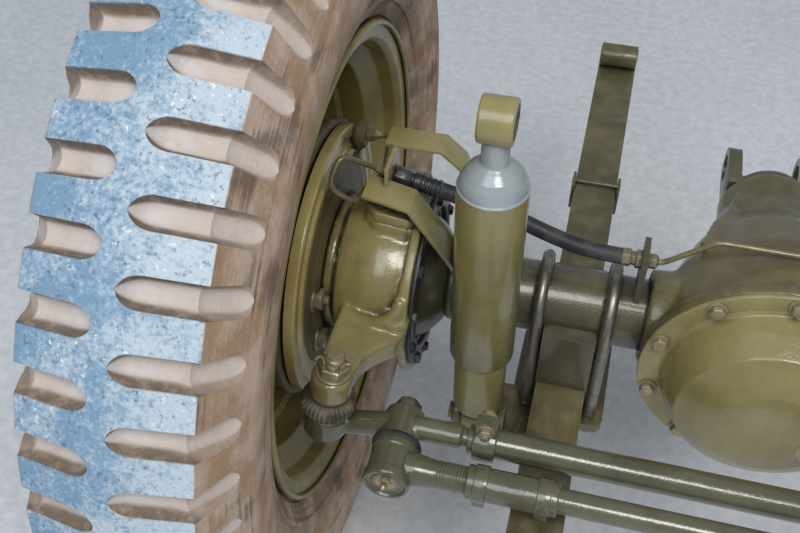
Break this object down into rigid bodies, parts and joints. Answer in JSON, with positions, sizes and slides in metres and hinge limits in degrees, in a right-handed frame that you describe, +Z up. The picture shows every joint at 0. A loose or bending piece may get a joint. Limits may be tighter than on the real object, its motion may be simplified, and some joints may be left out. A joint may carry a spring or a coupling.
{
  "type": "front driving axle with steered wheels",
  "caption": "Front driving axle of a light 4x4 field car: steered wheels with lugged tyres, closed knuckles, tie rod, drag link, leaf springs and dampers.",
  "frame": {"origin": "on the line of the wheel centres, midway between the wheels", "axes": "-Y towards the front of the vehicle, +X towards its left side, +Z up"},
  "size_m": [1.428, 0.9476, 0.7175],
  "materials": {
    "olive_paint": "worn semi-gloss olive drab",
    "dirty_casting": "olive paint under dark grease and dust",
    "dark_green_paint": "dark green, glossy and oily",
    "bare_steel": "dull steel",
    "drum_iron": "dusty iron",
    "tyre": "dusty black rubber",
    "boot_rubber": "dusty rubber",
    "hose_rubber": "black rubber"
  },
  "bodies": {
    "axle": {"differential_housing": "dirty_casting", "differential_cover": "olive_paint", "brake_pipe_axle": "bare_steel", "axle_tube_left": "dirty_casting", "axle_tube_right": "dirty_casting", "leaf_spring_left": "dirty_casting", "leaf_spring_right": "dirty_casting", "u_bolts_left": "bare_steel", "u_bolts_right": "bare_steel", "spring_plate_left": "dirty_casting", "spring_plate_right": "dirty_casting", "damper_tube_left": "olive_paint", "damper_tube_right": "olive_paint", "damper_cover_left": "olive_paint", "damper_cover_right": "olive_paint", "brake_hose_left": "hose_rubber", "brake_hose_right": "hose_rubber"},
    "pinion": {"pinion_yoke": "bare_steel"},
    "knuckle_left": {"knuckle_left": "olive_paint", "kingpin_caps_left": "olive_paint", "seal_ring_left": "dirty_casting", "spindle_left": "bare_steel", "backing_plate_left": "olive_paint", "arm_stud_left": "bare_steel", "hose_guard_left": "olive_paint", "brake_pipe_knuckle_left": "bare_steel"},
    "wheel_left": {"wheel_hub_left": "olive_paint", "brake_drum_left": "drum_iron", "wheel_rim_left": "olive_paint", "tyre_left": "tyre"},
    "knuckle_right": {"knuckle_right": "olive_paint", "kingpin_caps_right": "olive_paint", "seal_ring_right": "dirty_casting", "spindle_right": "bare_steel", "backing_plate_right": "olive_paint", "arm_stud_right": "bare_steel", "hose_guard_right": "olive_paint", "brake_pipe_knuckle_right": "bare_steel"},
    "wheel_right": {"wheel_hub_right": "olive_paint", "brake_drum_right": "drum_iron", "wheel_rim_right": "olive_paint", "tyre_right": "tyre"},
    "tie_rod": {"tie_rod_tube": "dark_green_paint", "tie_rod_end_left": "dark_green_paint", "tie_rod_end_right": "dark_green_paint", "tie_rod_boots": "boot_rubber", "drag_link_stud": "bare_steel"},
    "drag_link": {"drag_link_rod": "dark_green_paint"}
  },
  "joints": [
    {"name": "steer_right", "type": "hinge", "parent": "axle", "child": "knuckle_right", "pos_m": [-0.515, 0, 0], "axis": [0.1304, 0.0519, 0.9901], "range_deg": [-26, 26], "deforming": ["brake_hose_right"]},
    {"name": "steer_left", "type": "hinge", "parent": "axle", "child": "knuckle_left", "pos_m": [0.515, 0, 0], "axis": [-0.1304, 0.0519, 0.9901], "range_deg": [-26, 26], "deforming": ["brake_hose_left"]},
    {"name": "wheel_right_turn", "type": "hinge", "parent": "knuckle_right", "child": "wheel_right", "pos_m": [-0.6128, 0, 0], "axis": [1, 0, 0], "continuous": true},
    {"name": "wheel_left_turn", "type": "hinge", "parent": "knuckle_left", "child": "wheel_left", "pos_m": [0.6128, 0, 0], "axis": [1, 0, 0], "continuous": true},
    {"name": "pinion_turn", "type": "hinge", "parent": "axle", "child": "pinion", "pos_m": [-0.178, 0.168, 0], "axis": [0, 1, 0], "continuous": true},
    {"name": "tie_rod_turn", "type": "hinge", "parent": "knuckle_right", "child": "tie_rod", "pos_m": [-0.52931, -0.15195, -0.03207], "axis": [-0.1304, -0.0893, -0.9874], "range_deg": [-26, 26]},
    {"name": "drag_link_swing", "type": "hinge", "parent": "tie_rod", "child": "drag_link", "pos_m": [-0.464, -0.186, -0.028], "axis": [0, 1, 0], "range_deg": [-5, 1]}
  ],
  "couplings": [
    {"joint": "steer_left", "follows": "steer_right", "ratio": 0.99741},
    {"joint": "tie_rod_turn", "follows": "steer_right", "ratio": 0.98393}
  ]
}
